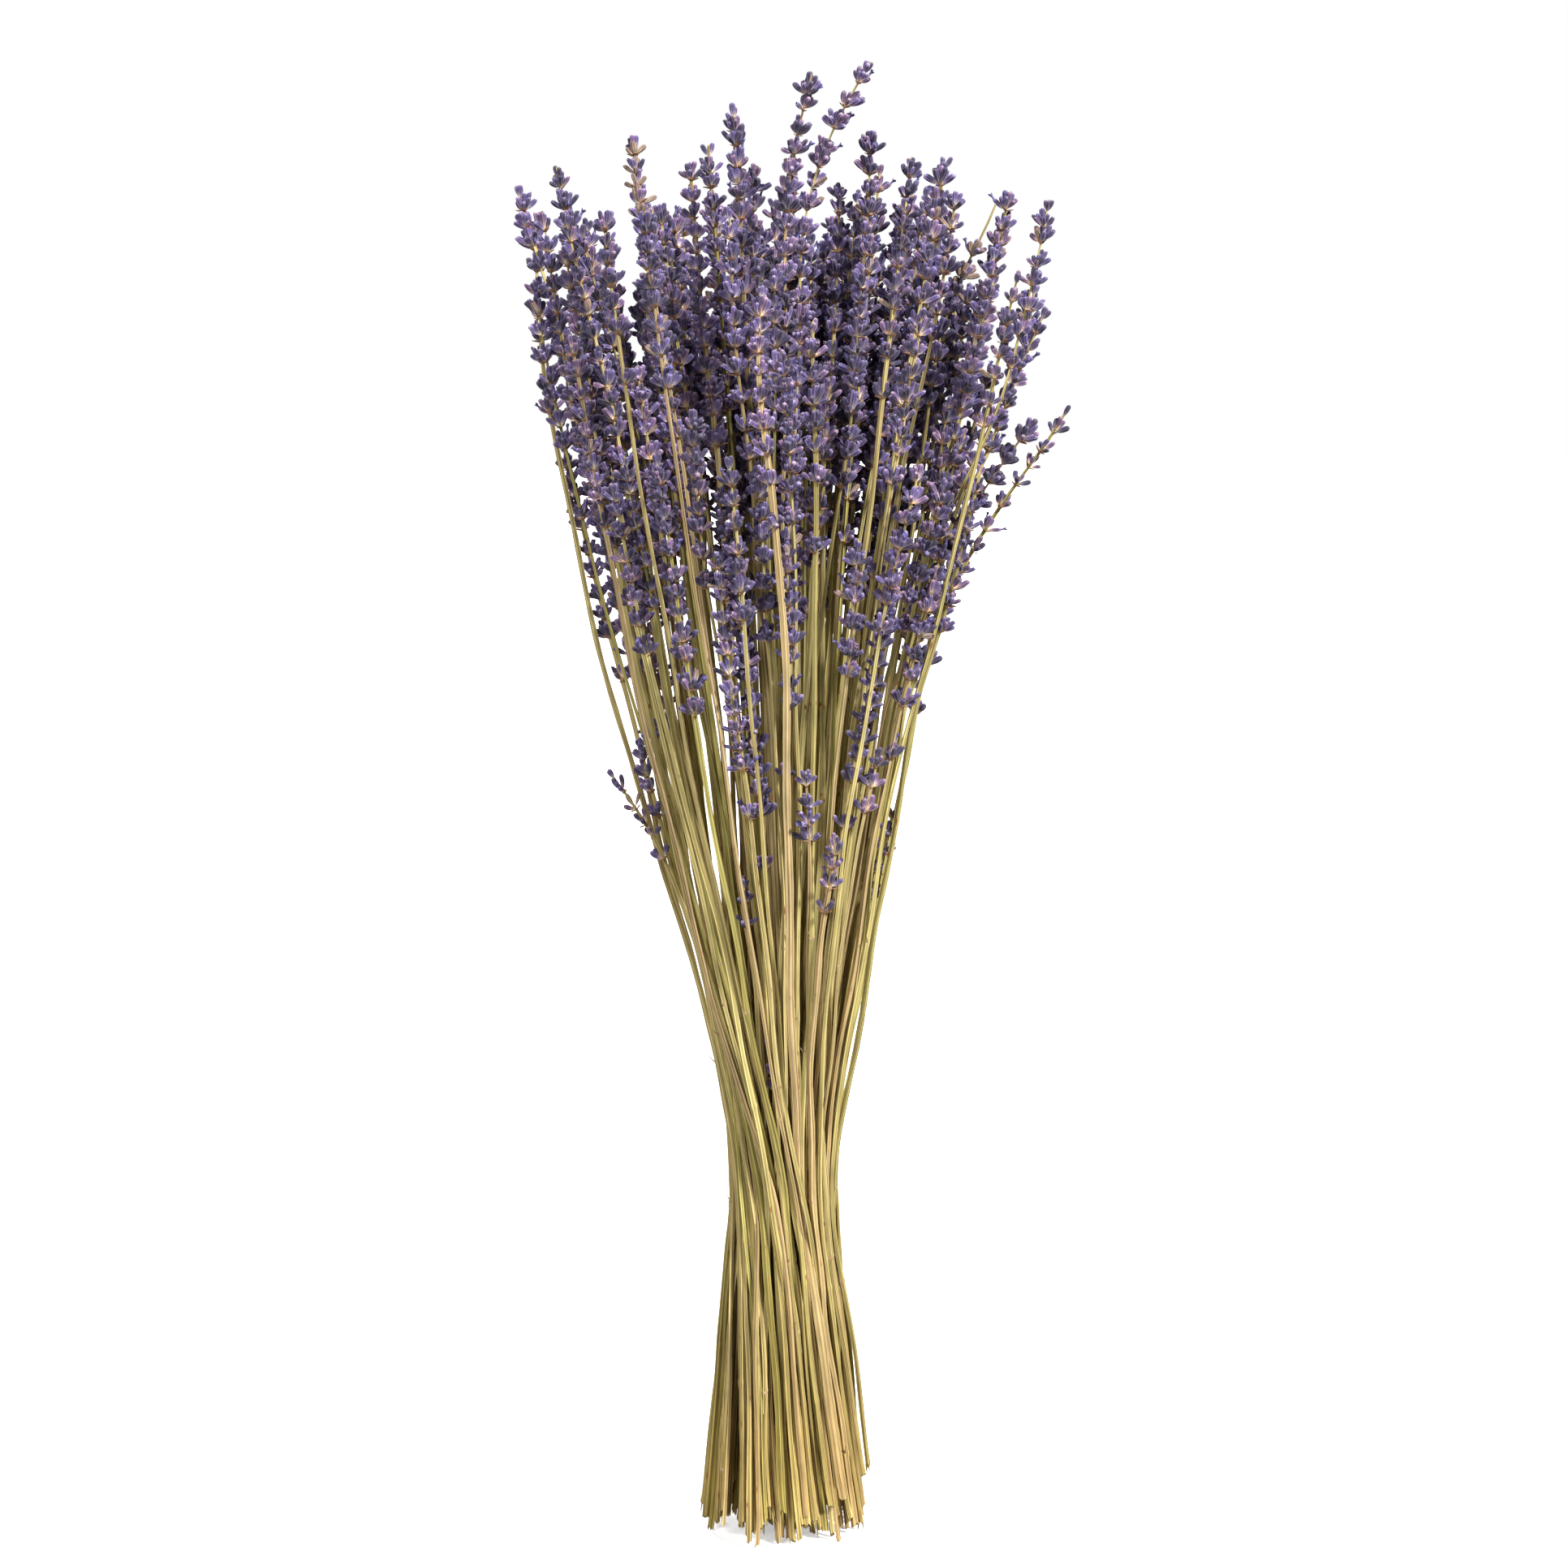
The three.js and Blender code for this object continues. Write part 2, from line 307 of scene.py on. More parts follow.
def joint_look():
    """The pale, pinkish collars where leaves grew."""
    look = Look("stem_joint", 0.75)
    grain = look.grain(12, 60)
    colour = look.ramp(grain, [
        (0.3, srgb(132, 104, 72)),
        (0.5, srgb(172, 144, 106)),
        (0.7, srgb(196, 170, 130)),
    ])
    return look.finish(colour, grain, 0.1 * MM)


def cut_look():
    """The pithy cut ends and their loose fibres."""
    look = Look("cut_end", 0.85)
    grain = look.grain(12, 90)
    colour = look.ramp(grain, [
        (0.3, srgb(150, 132, 88)),
        (0.5, srgb(188, 170, 122)),
        (0.7, srgb(214, 198, 154)),
    ])
    return look.finish(colour, grain, 0.1 * MM)


def bract_look():
    """The papery brown scales under each whorl, darker along their veins."""
    look = Look("bract", 0.8)
    veins = look.grain(8, 3, 3.0)
    colour = look.ramp(veins, [
        (0.25, srgb(118, 78, 58)),
        (0.5, srgb(168, 126, 98)),
        (0.75, srgb(208, 182, 150)),
    ])
    return look.finish(look.scaled(colour, look.between(look.chance(2.5), 0.75, 1.2)), veins, 0.08 * MM)


def petal_look():
    """Withered blue-violet petals."""
    look = Look("withered_petal", 0.75)
    crease = look.grain(7, 7, 3.0)
    colour = look.ramp(crease, [
        (0.25, srgb(72, 64, 110)),
        (0.55, srgb(104, 96, 150)),
        (0.8, srgb(146, 138, 186)),
    ])
    return look.finish(look.scaled(colour, look.between(look.chance(3.5), 0.75, 1.1)), crease, 0.08 * MM)


def hollow_shade_look():
    """Painted shade: a dark colour on the shallow inside of an open calyx, in place of the shade deep in its
    tube.
    """
    look = Look("calyx_hollow_painted_shade", 0.9)
    grain = look.grain(5, 5)
    colour = look.ramp(grain, [
        (0.3, srgb(58, 46, 60)),
        (0.7, srgb(104, 88, 106)),
    ])
    return look.finish(colour)


def twine_look():
    """Natural twine, streaked along its lay."""
    look = Look("twine", 0.9)
    lay = look.grain(3, 400)
    colour = look.ramp(lay, [
        (0.3, srgb(140, 112, 70)),
        (0.7, srgb(198, 172, 122)),
    ])
    return look.finish(colour, lay, 0.1 * MM)


CALYX, HOLLOW_SHADE, STEM, JOINT, CUT, BRACT, PETAL = range(7)


def sprig_materials():
    return [calyx_look(), hollow_shade_look(), stem_look(), joint_look(), cut_look(), bract_look(), petal_look()]


# ------------ shapes


class Shape:
    """Points, and faces with a place on the map and a material, that are copied many times."""

    def __init__(self):
        self.points = []
        self.faces = []
        self.places = []
        self.slots = []

    def ring(self, points):
        first = len(self.points)
        self.points.extend(points)
        return list(range(first, first + len(points)))

    def face(self, corners, places, slot):
        self.faces.append(corners)
        self.places.extend(places)
        self.slots.append(slot)

    def band(self, low, high, low_v, high_v, rounds, slot):
        """Faces between two rings. rounds gives each column's place round the shape."""
        count = len(low)
        for i in range(count):
            j = (i + 1) % count
            a, b = rounds[i], rounds[i + 1]
            self.face(
                [low[i], low[j], high[j], high[i]],
                [(a, low_v), (b, low_v), (b, high_v), (a, high_v)],
                slot,
            )

    def cap(self, ring, height, rounds, v, slot, down=False):
        """Closes a ring with a fan of faces round a middle point at the given height."""
        middle = np.mean([self.points[i] for i in ring], axis=0)
        centre = self.ring([(middle[0], middle[1], height)])[0]
        count = len(ring)
        for i in range(count):
            j = (i + 1) % count
            corners = [ring[j], ring[i], centre] if down else [ring[i], ring[j], centre]
            a, b = rounds[i], rounds[i + 1]
            places = [(b, v), (a, v), (a, v + 0.03)] if down else [(a, v), (b, v), (a, v + 0.03)]
            self.face(corners, places, slot)

    def lid(self, ring, rounds, v, slot):
        """Closes a ring with one flat face."""
        self.face(ring, [(rounds[i], v + 0.02 * (i % 2)) for i in range(len(ring))], slot)

    def ready(self, bend=0.0):
        """Turns the lists into arrays, once the shape is whole, and curls it."""
        self.points = bent(np.array(self.points, float), bend)
        self.sizes = np.array([len(face) for face in self.faces])
        self.corners = np.concatenate([np.array(face) for face in self.faces])
        self.places = np.array(self.places, float)
        self.slots = np.array(self.slots)
        return self


class Build:
    """Gathers copies of shapes into one mesh."""

    def __init__(self):
        self.points, self.corners, self.sizes, self.places, self.slots = [], [], [], [], []
        self.count = 0

    def add(self, shape, points, cells):
        """Adds one copy of the shape for each row of points, each with the map cell of its tone."""
        copies, size = points.shape[:2]
        offsets = self.count + size * np.arange(copies)
        self.points.append(points.reshape(-1, 3))
        self.corners.append((shape.corners[None] + offsets[:, None]).ravel())
        self.sizes.append(np.tile(shape.sizes, copies))
        places = np.repeat(shape.places[None], copies, axis=0)
        places[:, :, 0] = (places[:, :, 0] + np.asarray(cells)[:, None]) / CELLS
        self.places.append(places.reshape(-1, 2))
        self.slots.append(np.tile(shape.slots, copies))
        self.count += copies * size

    def mesh(self, name, materials):
        points = np.concatenate(self.points)
        sizes = np.concatenate(self.sizes)
        mesh = bpy.data.meshes.new(name)
        mesh.vertices.add(len(points))
        mesh.vertices.foreach_set("co", points.ravel())
        mesh.loops.add(int(sizes.sum()))
        mesh.loops.foreach_set("vertex_index", np.concatenate(self.corners).astype(np.int32))
        mesh.polygons.add(len(sizes))
        mesh.polygons.foreach_set("loop_start", (np.cumsum(sizes) - sizes).astype(np.int32))
        mesh.polygons.foreach_set("material_index", np.concatenate(self.slots).astype(np.int32))
        mesh.uv_layers.new(name="OFBake").data.foreach_set("uv", np.concatenate(self.places).ravel())
        for material in materials:
            mesh.materials.append(material)
        mesh.update(calc_edges=True)
        mesh.validate()
        mesh.shade_smooth()
        mesh.set_sharp_from_angle(angle=math.radians(SHARP_ANGLE))
        piece = bpy.data.objects.new(name, mesh)
        bpy.context.scene.collection.objects.link(piece)
        return piece


def circle(sides, radius, height):
    """Points round the z axis at one height. The radius can differ from point to point."""
    angles = 2 * math.pi * np.arange(sides) / sides
    radius = np.broadcast_to(radius, sides)
    return [(r * math.cos(a), r * math.sin(a), height) for r, a in zip(radius, angles)]


def bent(points, bend):
    """Curls points that stand along z towards +x, by bend radians over a unit of length."""
    if abs(bend) < 1e-6:
        return points
    x, y, z = points.T
    radius = 1 / bend
    angle = z * bend
    return np.stack([radius - (radius - x) * np.cos(angle), y, (radius - x) * np.sin(angle)], axis=1)


CALYX_OUTLINE = [(0.0, 0.18), (0.09, 0.26), (0.2, 0.55), (0.36, 0.84), (0.56, 1.0), (0.75, 1.0), (0.9, 0.88)]
PLAIN_OUTLINE = [(0.0, 0.18), (0.14, 0.36), (0.34, 0.82), (0.62, 1.02), (0.9, 0.88)]


def calyx(ribs, outline, bend, end="open"):
    """A calyx one unit long, standing along z on its narrow foot, with ribs and a toothed rim. Its end is
    open, closed as a bud, or holds a withered flower."""
    sides = 2 * ribs
    girth = CALYX_RADIUS / CALYX_LENGTH
    ridge = np.tile([1.08, 0.84], ribs)
    rounds = [0.88 if i % 2 == 0 else 0.12 for i in range(sides)] + [0.88]
    shape = Shape()
    rings = [shape.ring(circle(sides, radius * girth * ridge, height)) for height, radius in outline]
    for (low_z, _), (high_z, _), low, high in zip(outline, outline[1:], rings, rings[1:]):
        shape.band(low, high, low_z, high_z, rounds, CALYX)
    shape.lid(rings[0][::-1], rounds, 0.0, CALYX)
    if end == "bud":
        nose = shape.ring(circle(sides, 0.5 * girth * ridge, 0.98))
        shape.band(rings[-1], nose, 0.9, 0.97, rounds, CALYX)
        shape.cap(nose, 1.02, rounds, 0.97, CALYX)
        return shape.ready(bend)
    teeth_heights = np.tile([1.0, 0.965], ribs)
    tooth_radii = girth * np.tile([0.66, 0.6], ribs)
    teeth = [(x, y, h) for (x, y, _), h in zip(circle(sides, tooth_radii, 1.0), teeth_heights)]
    rim = shape.ring(teeth)
    shape.band(rings[-1], rim, 0.9, 1.0, rounds, CALYX)
    if end == "flower":
        add_petals(shape, rim, girth, sides, rounds)
    else:
        # The inside of the open end is coloured with painted shade.
        inner = shape.ring(circle(sides, 0.4 * girth, 0.88))
        shape.band(rim, inner, 0.9, 0.6, rounds, HOLLOW_SHADE)
        shape.lid(inner, rounds, 0.5, HOLLOW_SHADE)
    return shape.ready(bend)


def add_petals(shape, rim, girth, sides, rounds):
    """A withered flower: a short tube out of the calyx that opens into crumpled lobes."""
    wave = 1 + 0.3 * np.sin(2.5 * np.arange(sides)) * np.cos(np.arange(sides))
    tube = [
        shape.ring(circle(sides, 0.48 * girth, 1.04)),
        shape.ring(circle(sides, 0.46 * girth, 1.2)),
        shape.ring(circle(sides, 0.72 * girth * wave, 1.32)),
    ]
    lobes = [
        (x, y, 1.4 + 0.07 * math.sin(1.9 * i))
        for i, (x, y, _) in enumerate(circle(sides, 0.92 * girth * wave[::-1], 0))
    ]
    tube.append(shape.ring(lobes))
    shape.band(rim, tube[0], 0.0, 0.2, rounds, PETAL)
    for i in range(3):
        shape.band(tube[i], tube[i + 1], 0.2 + 0.2 * i, 0.4 + 0.2 * i, rounds, PETAL)
    throat = shape.ring(circle(sides, 0.3 * girth, 1.24))
    shape.band(tube[-1], throat, 0.8, 0.95, rounds, PETAL)
    shape.lid(throat, rounds, 0.95, PETAL)


def bract():
    """A thin pointed scale one unit long, standing along z and cupped towards +x."""
    rows, columns = 5, 4
    thickness = 0.035
    shape = Shape()
    sheets = []
    for lift in (0.0, -thickness):
        sheet = []
        for i in range(rows):
            t = i / (rows - 1)
            width = 0.36 * math.sin(math.pi * min(t * 0.82 + 0.16, 1.0)) ** 0.8
            line = []
            for j in range(columns):
                s = 2 * j / (columns - 1) - 1
                cup = 0.45 * width * s * s + 0.12 * t * t
                line.append((cup + lift, s * width, t))
            sheet.append(shape.ring(line))
        sheets.append(sheet)
    back, front = sheets[1], sheets[0]
    for sheet, flip in ((front, False), (back, True)):
        for i in range(rows - 1):
            for j in range(columns - 1):
                corners = [sheet[i][j], sheet[i][j + 1], sheet[i + 1][j + 1], sheet[i + 1][j]]
                places = [(0.1 + 0.8 * c / (columns - 1), r / (rows - 1))
                          for r, c in ((i, j), (i, j + 1), (i + 1, j + 1), (i + 1, j))]
                if not flip:
                    corners, places = corners[::-1], places[::-1]
                shape.face(corners, places, BRACT)
    edge = [(i, 0) for i in range(rows)] + [(rows - 1, j) for j in range(1, columns)]
    edge += [(i, columns - 1) for i in range(rows - 2, -1, -1)] + [(0, j) for j in range(columns - 2, 0, -1)]
    for (i, j), (k, m) in zip(edge, edge[1:] + edge[:1]):
        corners = [front[i][j], front[k][m], back[k][m], back[i][j]]
        a, b = 0.1 + 0.8 * i / rows, 0.1 + 0.8 * k / rows
        shape.face(corners, [(a, 0.9), (b, 0.9), (b, 0.97), (a, 0.97)], BRACT)
    return shape.ready()


def splinter(slot, bend):
    """A tapering fibre one unit long and one unit across at its foot, standing along z."""
    sides = 5
    rounds = list(np.arange(sides + 1) / sides * 0.9 + 0.05)
    shape = Shape()
    rings = [shape.ring(circle(sides, radius, height)) for height, radius in
             ((0.0, 0.5), (0.3, 0.44), (0.65, 0.3), (1.0, 0.12))]
    for i in range(3):
        shape.band(rings[i], rings[i + 1], 0.05 * i, 0.05 * i + 0.05, rounds, slot)
    shape.lid(rings[0][::-1], rounds, 0.0, slot)
    shape.lid(rings[-1], rounds, 0.15, slot)
    return shape.ready(bend)


def sprig_shapes(ribs, outline):
    """The shapes that are set out along each stem, by name."""
    return {
        "calyx": [calyx(ribs, outline, bend, end) for bend in BENDS for end in ("open", "bud")],
        "flower": calyx(ribs, outline, 0.3, "flower"),
        "bud": calyx(ribs, outline, 0.2, "bud"),
        "bract": bract(),
        "splinter": splinter(STEM, 0.25),
        "stub": splinter(JOINT, -0.5),
    }


# ------------ sprigs


def unit(vectors):
    return vectors / np.linalg.norm(vectors, axis=-1, keepdims=True)


class Sprig:
    """One flowering stem: its middle line, its spike and the map tones that it takes."""

    def __init__(self, name, heights, middles, foot, girth):
        self.name = name
        self.low, self.top = heights[0], heights[-1]
        self.foot = foot            # where its spike starts
        self.girth = girth          # the widest radius of its spike
        count = max(12, int((self.top - self.low) / (3 * MM)))
        self.heights = np.linspace(self.low, self.top, count)
        line = np.stack([np.interp(self.heights, heights, middles[:, side]) for side in (0, 1)], axis=1)
        for _ in range(4):
            line[1:-1] = (line[:-2] + 2 * line[1:-1] + line[2:]) / 4
        share = (self.heights - self.low) / (self.top - self.low)
        swing = random.uniform(0, 2 * math.pi, (2, 2))
        waves = [np.sin(2 * math.pi * share * (2.3 + side) + swing[side, 0])
                 + 0.6 * np.sin(2 * math.pi * share * 5.1 + swing[side, 1]) for side in (0, 1)]
        self.line = line + WANDER * np.stack(waves, axis=1) * np.sin(math.pi * share)[:, None] ** 0.5
        self.radius = STEM_RADIUS * random.uniform(*STEM_GIRTHS)
        self.stem_cell = random.integers(STEM_CELLS.start, STEM_CELLS.stop)
        self.calyx_cell = random.integers(0, len(CALYX_CELLS))
        self.turn = random.uniform(0, 2 * math.pi)
        full = girth > 0.8 * FULL_GIRTH
        self.lone = random.uniform(*LONE_WHORL) if full and random.random() < WITH_LONE_WHORL else 0

    def place(self, heights):
        """Points on the middle line, and straight above or below its ends."""
        heights = np.asarray(heights, float)
        inside = np.clip(heights, self.low, self.top)
        x, y = (np.interp(inside, self.heights, self.line[:, side]) for side in (0, 1))
        return np.stack([x, y, heights], axis=-1)

    def at(self, heights):
        """Points on the middle line, with the direction it runs in and two directions across it."""
        heights = np.asarray(heights, float)
        step = 2 * MM
        high = np.clip(heights + step, self.low + step, self.top)
        low = np.clip(heights - step, self.low, self.top - step)
        along = unit(self.place(high) - self.place(low))
        across = unit(np.array([1.0, 0, 0]) - along[..., :1] * along)
        return self.place(heights), along, across, np.cross(along, across)

    def radius_at(self, heights):
        """The stem's radius, which shrinks all the way up and more along the spike."""
        share = (np.asarray(heights) - self.low) / (self.top - self.low)
        thin = np.clip((np.asarray(heights) - self.foot) / (self.top - self.foot), 0, 1)
        return self.radius * (1 - (1 - STEM_TAPER) * share) * (1 - 0.45 * thin)


def around(sprig, z, angles):
    """Where a sprig is at height z, which way it runs there, and the ways out from it at some angles."""
    point, along, across, beside = (row[0] for row in sprig.at([z]))
    return point, along, np.cos(angles)[:, None] * across + np.sin(angles)[:, None] * beside


def leaning(axis, outward, tilt):
    """Directions tilted from the axis towards outward, and the directions across them that face up."""
    along = np.cos(tilt)[:, None] * axis + np.sin(tilt)[:, None] * outward
    up = axis - (axis * along).sum(1, keepdims=True) * along
    return along, unit(up)


def set_out(shape, roots, along, up, lengths, widths=None):
    """Copies of a shape at roots, standing along one set of directions and curling towards another."""
    widths = lengths if widths is None else widths
    axes = np.stack([up, np.cross(along, up), along], axis=1)
    scales = np.stack([widths, widths, lengths], axis=1)
    return roots[:, None] + np.einsum("pk,nk,nkx->npx", shape.points, scales, axes)


def joints_of(sprig, height):
    """The heights of its joints, two at most, on its bare part."""
    low, high = (share * height for share in JOINT_HEIGHTS)
    spots = random.uniform(low, high, random.integers(1, 3))
    return [spot for spot in spots if spot > sprig.low + 8 * MM and spot < sprig.foot - 20 * MM]


def stem_levels(sprig, joints):
    """The heights of the stem's rings, closer together at its joints."""
    count = max(8, int((sprig.top - sprig.low) / STEM_STEP))
    levels = list(np.linspace(sprig.low, sprig.top - 1.5 * MM, count))
    for joint in joints:
        levels = [z for z in levels if abs(z - joint) > JOINT_LENGTH]
        levels += [joint + JOINT_LENGTH * share for share in (-0.7, -0.3, 0.1, 0.5)]
    return np.array(sorted(levels))


def stem_swell(sprig, levels, joints):
    """How much thicker than usual the stem is at each level, and which joints have a pale collar."""
    swell = 1 + 0.07 * np.sin((levels - sprig.low) * random.uniform(150, 320) + sprig.turn)
    collars = [joint for joint in joints if random.random() < COLLARED]
    for joint in joints:
        swell += random.uniform(0.1, 0.3) * np.exp(-((levels - joint) / (0.45 * JOINT_LENGTH)) ** 2)
    return swell, collars


def stem_rings(sprig, levels, swell):
    """The stem's points by level: square, flattened, twisted and rough, with a slanting cut end."""
    section = np.tile([STEM_CORNER, STEM_FACE, STEM_FACE], 4)
    angles = sprig.turn + 2 * math.pi * np.arange(STEM_SIDES) / STEM_SIDES
    flat = 1 + random.uniform(0, 0.22) * np.cos(2 * (angles - random.uniform(0, math.pi)))
    twist = random.uniform(-2.5, 2.5) * (levels - sprig.low)
    points, _, across, beside = sprig.at(levels)
    turned = angles[None] + twist[:, None]
    rough = random.uniform(0.96, 1.04, (len(levels), STEM_SIDES))
    reach = (sprig.radius_at(levels) * swell)[:, None] * (section * flat)[None] * rough
    rings = (points[:, None] + (reach * np.cos(turned))[..., None] * across[:, None]
             + (reach * np.sin(turned))[..., None] * beside[:, None])
    slant = random.uniform(-0.7, 0.7, 2) * sprig.radius
    ragged = random.uniform(0, 0.9 * MM, STEM_SIDES) * random.integers(0, 2, STEM_SIDES)
    rings[0, :, 2] += slant[0] * np.cos(angles) + slant[1] * np.sin(angles) + abs(slant).sum() + ragged
    return rings


def add_stem(build, sprig, height, shapes):
    """The square stem, with its joints, its cut end and its thin tip."""
    joints = joints_of(sprig, height)
    levels = stem_levels(sprig, joints)
    swell, collars = stem_swell(sprig, levels, joints)
    rings = stem_rings(sprig, levels, swell)
    shape = Shape()
    loops = [shape.ring([tuple(point) for point in ring]) for ring in rings]
    rounds = list(np.arange(STEM_SIDES + 1) / STEM_SIDES * 0.98 + 0.01)
    for i in range(len(levels) - 1):
        middle = (levels[i] + levels[i + 1]) / 2
        pale = any(abs(middle - joint + 0.1 * JOINT_LENGTH) < 0.15 * JOINT_LENGTH for joint in collars)
        slot = JOINT if pale else STEM
        shape.band(loops[i], loops[i + 1], levels[i] / height, levels[i + 1] / height, rounds, slot)
    shape.cap(loops[0], rings[0, :, 2].max() + 0.2 * sprig.radius, rounds, 0.02, CUT, down=True)
    shape.cap(loops[-1], sprig.top - 0.8 * MM, rounds, 0.95, STEM)
    shape.ready()
    build.add(shape, shape.points[None], [sprig.stem_cell])
    add_cut_end(build, sprig, shapes)
    for joint in joints:
        add_stubs(build, sprig, joint, shapes)


def add_splinters(build, sprig, shape, z, count, tilts, lengths, widths, down=False):
    """Fibres that stand off a stem at height z."""
    angles = random.uniform(0, 2 * math.pi, count)
    point, along, outward = around(sprig, z, angles)
    way = -along if down else along
    directions, up = leaning(way, outward, np.radians(tilts))
    roots = point + 0.72 * sprig.radius_at(z) * outward
    cells = np.full(count, sprig.stem_cell)
    build.add(shape, set_out(shape, roots, directions, up, lengths, widths), cells)


def add_cut_end(build, sprig, shapes):
    """The fibres that a blunt cut leaves at the end of some stems."""
    if random.random() < FRAYED:
        count = random.integers(2, 5)
        start = sprig.low + random.uniform(0.8, 2.5) * MM
        lengths = np.minimum(random.uniform(1.5, 4.5, count) * MM, start - 0.2 * MM)
        widths = random.uniform(0.3, 0.7, count) * MM
        tilts = random.uniform(1, 14, count)
        add_splinters(build, sprig, shapes["splinter"], start, count, tilts, lengths, widths, down=True)


def add_stubs(build, sprig, joint, shapes):
    """What is left of leaves at some joints."""
    if random.random() < STUBBED:
        count = random.integers(1, 3)
        lengths = random.uniform(1.2, 4.5, count) * MM
        widths = random.uniform(0.35, 0.7, count) * MM
        tilts = random.uniform(14, 42, count)
        add_splinters(build, sprig, shapes["stub"], joint, count, tilts, lengths, widths)


def add_whorl(build, sprig, z, size, count, shapes, withered=WITHERED):
    """A fan of calyces all round the stem: a low ring that lies out, a middle one and a few upright ones."""
    angles = random.uniform(0, 2 * math.pi) + CALYX_STEP * np.arange(count)
    angles += random.uniform(-0.22, 0.22, count)
    point, along, outward = around(sprig, z, angles)
    along = unit(along + random.normal(0, WHORL_TILT, 3))
    rank = (np.arange(count) + 0.5) / count
    tilt = np.radians(np.interp(rank, [0, 0.5, 1], WHORL_ANGLES) + random.uniform(-13, 13, count))
    directions, up = leaning(along, outward, tilt)
    rise = (1.1 * rank - 0.3 + random.uniform(-0.2, 0.2, count)) * MM * size
    roots = point + 0.5 * sprig.radius_at(z) * outward + rise[:, None] * along
    lengths = CALYX_LENGTH * size * random.uniform(0.72, 1.12, count)
    widths = CALYX_LENGTH * size * random.uniform(0.7, 1.02, count)
    cells = (sprig.calyx_cell + random.integers(0, 4, count)) % len(CALYX_CELLS)
    cells = np.where(random.random(count) < withered, WITHERED_CELL, cells)
    kinds = random.integers(0, len(shapes["calyx"]), count)
    kinds = np.where(random.random(count) < IN_FLOWER, len(shapes["calyx"]), kinds)
    for kind, shape in enumerate([*shapes["calyx"], shapes["flower"]]):
        pick = kinds == kind
        if pick.any():
            copies = set_out(shape, roots[pick], directions[pick], up[pick], lengths[pick], widths[pick])
            build.add(shape, copies, cells[pick])
    add_bracts(build, sprig, z - 0.6 * MM, size, shapes["bract"])


def add_bracts(build, sprig, z, size, shape):
    """The papery scales that a whorl stands on."""
    count = random.integers(2, 5)
    angles = random.uniform(0, 2 * math.pi) + 2 * math.pi * np.arange(count) / count
    point, along, outward = around(sprig, z, angles + random.uniform(-0.3, 0.3, count))
    directions, up = leaning(along, outward, np.radians(random.uniform(40, 84, count)))
    lengths = BRACT_LENGTH * size * random.uniform(0.45, 1.0, count)
    roots = point + 0.7 * sprig.radius_at(z) * outward
    cells = random.integers(BRACT_CELLS.start, BRACT_CELLS.stop, count)
    build.add(shape, set_out(shape, roots, directions, up, lengths), cells)


def add_spike(build, sprig, shapes):
    """Whorls from the foot of the spike to its tip, closer and smaller as they go up."""
    fullness = min(sprig.girth / FULL_GIRTH, 1.06)
    size = 0.75 + 0.3 * fullness
    length = sprig.top - sprig.foot
    end = sprig.top - 4.5 * MM - BARE_TIPS.get(sprig.name, 0) * length
    if sprig.lone:
        add_whorl(build, sprig, sprig.foot - sprig.lone, 0.95 * size, max(4, int(8 * fullness)), shapes)
    z = sprig.foot + 1.5 * MM
    while z < end:
        share = (z - sprig.foot) / length
        own_size = size * (1 - 0.08 * share ** 2) * random.uniform(0.88, 1.1)
        count = round(fullness ** 1.6 * (FULL_WHORL - 4 * share ** 2) * random.uniform(0.72, 1.15))
        lost = WITHERED_TIPS.get(sprig.name, WITHERED) if share > 0.6 else WITHERED
        add_whorl(build, sprig, z, own_size, max(2, count), shapes, lost)
        z += WHORL_STEP * size * (1 - 0.32 * share) * random.uniform(0.72, 1.28)
    if sprig.name not in BARE_TIPS:
        add_tip(build, sprig, size, shapes)


def add_tip(build, sprig, size, shapes):
    """The last few buds, which point up."""
    count = random.integers(2, 5)
    angles = random.uniform(0, 2 * math.pi) + 2 * math.pi * np.arange(count) / count
    point, along, outward = around(sprig, sprig.top - 4.4 * MM * size, angles)
    directions, up = leaning(along, outward, np.radians(random.uniform(6, 36, count)))
    cells = (sprig.calyx_cell + random.integers(0, 4, count)) % len(CALYX_CELLS)
    lengths = CALYX_LENGTH * size * random.uniform(0.62, 0.88, count)
    shape = shapes["bud"]
    build.add(shape, set_out(shape, point + 0.1 * MM * outward, directions, up, lengths), cells)


def sprigs_piece(name, sprigs, height, shapes, materials):
    """One piece that holds some whole flowering stems."""
    build = Build()
    for sprig in sprigs:
        add_stem(build, sprig, height, shapes)
        add_spike(build, sprig, shapes)
    return build.mesh(name, materials)


# ------------ runs of the sprigs


def cad_sprig(node):
    """The sprig that a CAD node stands for. Its rings are level, so each height holds one."""
    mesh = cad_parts[node].data
    points = np.empty(len(mesh.vertices) * 3)
    mesh.vertices.foreach_get("co", points)
    points = points.reshape(-1, 3)
    heights = np.unique(points[:, 2].round(5))
    rings = [points[np.abs(points[:, 2] - z) < 2e-5, :2] for z in heights]
    middles = np.array([(ring.min(0) + ring.max(0)) / 2 for ring in rings])
    radii = np.array([np.ptp(ring, axis=0).max() / 2 for ring in rings])
    thick = np.flatnonzero(radii > 1.5 * radii[0])
    return Sprig(node, heights, middles, heights[thick[0] - 1], radii.max())


def runs_of(sprigs, heights):
    """The sprigs' places at some heights as complex numbers, going on straight past their tips."""
    runs = np.array([sprig.place(heights)[:, :2] @ (1, 1j) for sprig in sprigs])
    for run, sprig in zip(runs, sprigs):
        below = sprig.place([sprig.foot - 30 * MM, sprig.foot])[:, :2] @ (1, 1j)
        slope = (below[1] - below[0]) / (30 * MM)
        past = heights > sprig.top
        run[past] = sprig.place([sprig.top])[0, :2] @ (1, 1j) + slope * (heights[past] - sprig.top)
    return runs


